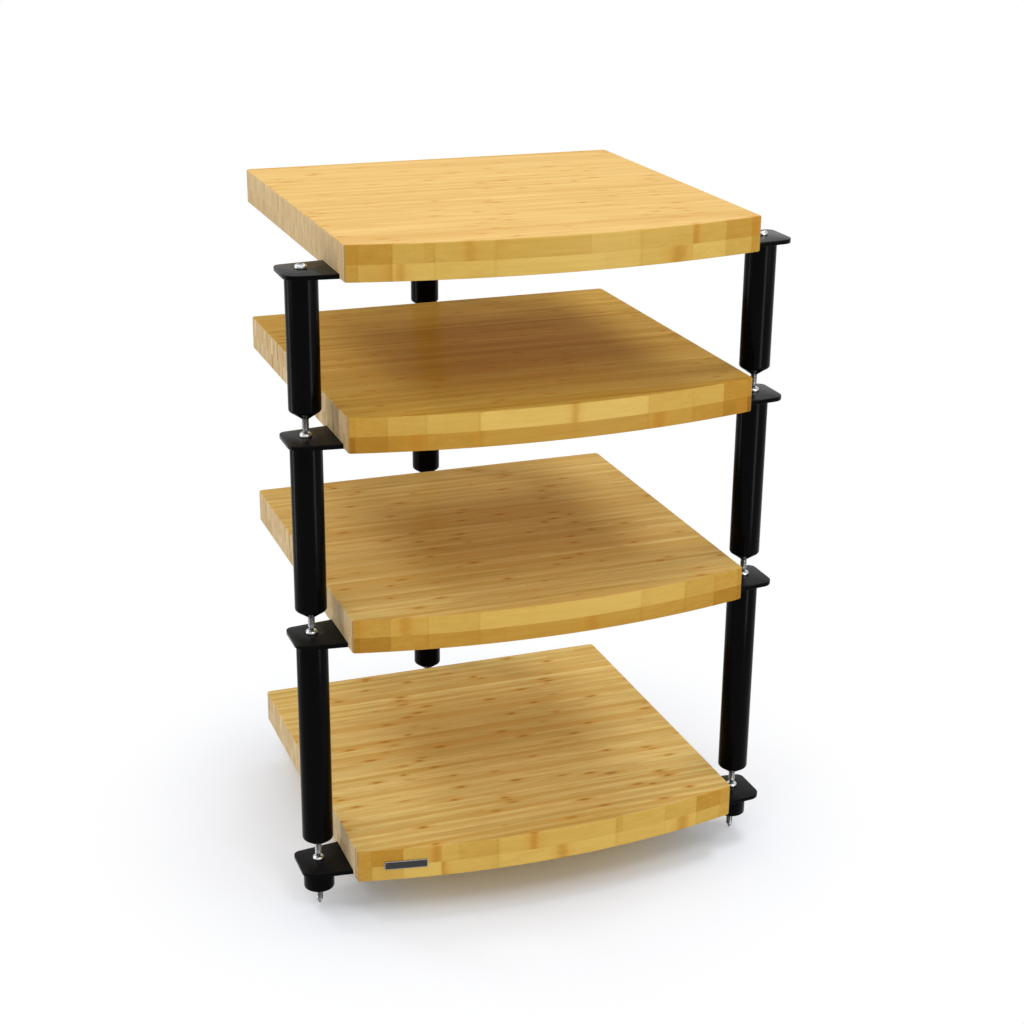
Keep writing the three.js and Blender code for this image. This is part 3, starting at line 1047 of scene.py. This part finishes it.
def head_rings(seat, radius):
    """Rim, dome and hexagon socket of a button head."""
    rings = [
        circle_ring(seat, radius - HEAD_RIM_EASE, THREAD_SIDES),
        circle_ring(seat + HEAD_RIM_EASE, radius, THREAD_SIDES),
    ]
    for angle in quarter_angles(CORNER_STEPS):
        z = seat + HEAD_RIM + (HEAD_HEIGHT - HEAD_RIM) * math.sin(angle)
        rings.append(circle_ring(z, HEAD_CROWN + (radius - HEAD_CROWN) * math.cos(angle), THREAD_SIDES))
    top = seat + HEAD_HEIGHT
    rings.append(hexagon_ring(top, SOCKET_FLATS + 2 * SOCKET_LIP))
    rings.append(hexagon_ring(top - SOCKET_LIP, SOCKET_FLATS))
    rings.append(hexagon_ring(top - SOCKET_DEPTH, SOCKET_FLATS))
    return rings


def make_bolt(node, name, body, chrome):
    """A button-head bolt: threaded shank, domed head and hexagon socket."""
    seat = height_of(node) - HEAD_HEIGHT
    shank = thread_rings(seat, lambda z: THREAD_CREST - THREAD_END_EASE + z)
    bolt = make_object(name, *skin(shank + head_rings(seat, radius_of(node))))
    stand(bolt, node)
    dress(bolt, node, body, chrome)


def make_columns(coat, chrome, zinc):
    for tier in TIERS:
        body = tier + "_tier"
        for side in SIDES:
            name = tier + "_" + side
            make_bolt(name + "_cup_bolt", name + "_bolt", body, chrome)
            if tier == "base":
                make_foot(name + "_foot", name + "_foot_bar", body, coat)
                make_spike(name + "_floor_spike", name + "_floor_point", zinc)
            else:
                make_leg(name + "_leg_tube", name + "_leg", body, coat)
                make_spike(name + "_cross_spike", name + "_cross_point", zinc)


def badge_shape():
    """How far the badge is turned to follow the bow, and its width and thickness, worked out from its box."""
    low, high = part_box("badge_plate")
    middle = (low + high) / 2
    out = Vector((middle.x, middle.y - (FRONT_LINE + BOW_CENTRE), 0)).normalized()
    lean = math.atan2(out.x, -out.y)
    slope = math.tan(lean)
    across = high.x - low.x
    thickness = (high.y - low.y - across * abs(slope)) / (math.cos(lean) - math.sin(lean) * slope)
    width = (across - thickness * abs(math.sin(lean))) / math.cos(lean)
    return lean, width, thickness


def make_badge(material, rim):
    """The bare plate on the base shelf's front edge: a black panel in a thin steel rim."""
    node = "badge_plate"
    low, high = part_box(node)
    lean, width, thickness = badge_shape()

    def outline_at(inset):
        x = width / 2 - inset
        y = height_of(node) / 2 - inset
        corners = [(-x, -y), (x, -y), (x, y), (-x, y)]
        return rounded_outline([(*corner, BADGE_CORNER - inset) for corner in corners], CORNER_STEPS)

    rings = slab_rings(outline_at, thickness, BADGE_EASE)
    rings += [lift(outline_at(BADGE_RIM), z) for z in (thickness, thickness - BADGE_RECESS)]
    badge = make_object("bare_badge", *skin(rings))
    turn = Matrix.Rotation(lean, 4, "Z") @ Matrix.Rotation(math.pi / 2, 4, "X")
    place(badge, Matrix.Translation((0, 0, -thickness / 2)))
    place(badge, Matrix.Translation((low + high) / 2) @ turn)
    dress(badge, node, "base_tier", material)
    badge.data.materials.append(rim)
    # The last face is the panel
    for face in badge.data.polygons[:-1]:
        face.material_index = 1


# Studio

WORLD_FILL = 0.47  # strength of the white surroundings' light
FLOOR_SIZE = 12.0
# Colours of the floor: for the light that it throws back, and as it is seen
FLOOR_SHADE = (0.88, 0.88, 0.88, 1)
FLOOR_SHADE_SHOWN = (1.03, 1.09, 1.20, 1)
# Distances from the middle between which the floor goes over from lit to plain white
FLOOR_FADE = (0.20, 0.54)

LAMP_DISTANCE = 3.0
LAMP_AIM = Vector((0, 0, 0.4))
# For each panel: azimuth from the front towards the right and elevation in degrees, side in metres, watts
LAMPS = {
    "front": (0, 50, 0.8, 12.0),
    "front_left": (-45, 60, 0.6, 6.3),
    "front_right_low": (45, 12, 1.2, 8.2),
    "left": (-90, 60, 0.6, 8.0),
    "left_low": (-90, 12, 1.2, 7.0),
    "right": (90, 65, 0.9, 20.0),
    "back": (180, 60, 0.6, 3.0),
    "back_left": (-135, 45, 0.6, 9.8),
    "back_right": (135, 50, 0.6, 3.9),
}
# Tall panels that stand near the rack and only draw highlights on its tubes: place and watts of each
TALL_PANEL_WIDTH = 0.20
TALL_PANEL_HEIGHT = 1.5
TALL_PANELS = {
    "tall_right": ((0.60, -1.30), 10.0),
    "tall_left": ((-1.30, 0.35), 6.0),
}


def shown_rays(nodes):
    """1 for rays that show the background: from the camera, in a mirror or through glass."""
    path = nodes.add("ShaderNodeLightPath").outputs
    shown = nodes.math("MAXIMUM", path["Is Camera Ray"], path["Is Glossy Ray"])
    return nodes.math("MAXIMUM", shown, path["Is Transmission Ray"])


def make_world():
    """White surroundings, which give less light than they show."""
    world = bpy.data.worlds.new("studio")
    bpy.context.scene.world = world
    world.use_nodes = True
    world.node_tree.nodes.clear()
    nodes = Nodes(world.node_tree)
    shown = shown_rays(nodes)
    strength = nodes.step(shown, 0.0, 1.0, WORLD_FILL, 1.0)
    background = nodes.add("ShaderNodeBackground", Color=(1, 1, 1, 1), Strength=strength)
    output = nodes.add("ShaderNodeOutputWorld")
    world.node_tree.links.new(background.outputs[0], output.inputs[0])


def make_floor():
    """A floor that takes shadows near the rack and goes over to plain white further out."""
    half = FLOOR_SIZE / 2
    corners = [(-half, -half, 0), (half, -half, 0), (half, half, 0), (-half, half, 0)]
    floor = make_object("floor", corners, [(0, 1, 2, 3)])
    material, nodes, shader = new_material("floor_white")
    tree = material.node_tree
    tree.nodes.remove(shader)
    output = tree.nodes["Material Output"]
    shown = shown_rays(nodes)
    near = nodes.add("ShaderNodeBsdfDiffuse", Color=nodes.mix(shown, FLOOR_SHADE, FLOOR_SHADE_SHOWN))
    white = nodes.add("ShaderNodeEmission", Strength=1.0).outputs[0]
    spot = nodes.add("ShaderNodeVectorMath", {"operation": "LENGTH"})
    nodes.feed(spot.inputs[0], nodes.object_xyz())
    away = nodes.step(spot.outputs["Value"], *FLOOR_FADE)
    mixed = nodes.add("ShaderNodeMixShader", Fac=nodes.math("MULTIPLY", away, shown))
    tree.links.new(near.outputs[0], mixed.inputs[1])
    tree.links.new(white, mixed.inputs[2])
    tree.links.new(mixed.outputs[0], output.inputs[0])
    floor.data.materials.append(material)


def add_panel(name, spot, aim, width, height, power):
    """A flat lamp that faces its aim and is out of the camera's sight."""
    lamp = bpy.data.lights.new(name, "AREA")
    lamp.shape = "RECTANGLE"
    lamp.size = width
    lamp.size_y = height
    lamp.energy = power
    holder = add_object(name, lamp)
    holder.location = spot
    holder.rotation_euler = (spot - aim).to_track_quat("Z", "Y").to_euler()
    holder.visible_camera = False
    return holder


def make_lamps():
    for name, (azimuth, elevation, side, power) in LAMPS.items():
        turn = math.radians(azimuth)
        rise = math.radians(elevation)
        away = Vector((math.sin(turn) * math.cos(rise), -math.cos(turn) * math.cos(rise), math.sin(rise)))
        add_panel(name, LAMP_AIM + away * LAMP_DISTANCE, LAMP_AIM, side, side, power)
    aim = Vector((0, 0, TALL_PANEL_HEIGHT / 2))
    for name, (foot, power) in TALL_PANELS.items():
        spot = Vector((*foot, aim.z))
        holder = add_panel(name, spot, aim, TALL_PANEL_WIDTH, TALL_PANEL_HEIGHT, power)
        holder.visible_diffuse = False


def make_camera():
    lens = bpy.data.cameras.new("camera")
    lens.lens = CAMERA_LENS
    lens.sensor_width = CAMERA_SENSOR
    camera = add_object("camera", lens)
    aim = Matrix.Rotation(CAMERA_YAW, 4, "Z") @ Matrix.Rotation(math.pi / 2 - CAMERA_PITCH_DOWN, 4, "X")
    camera.matrix_world = Matrix.Translation(CAMERA_PLACE) @ aim @ Matrix.Rotation(CAMERA_ROLL, 4, "Z")
    bpy.context.scene.camera = camera


def main():
    bpy.context.scene.view_settings.view_transform = "Standard"
    make_camera()
    make_world()
    make_floor()
    make_lamps()
    coat = black_coat_material()
    chrome = chrome_material()
    zinc = zinc_material()
    make_shelves()
    make_plates(coat, zinc)
    make_columns(coat, chrome, zinc)
    make_badge(badge_material(), zinc)


main()
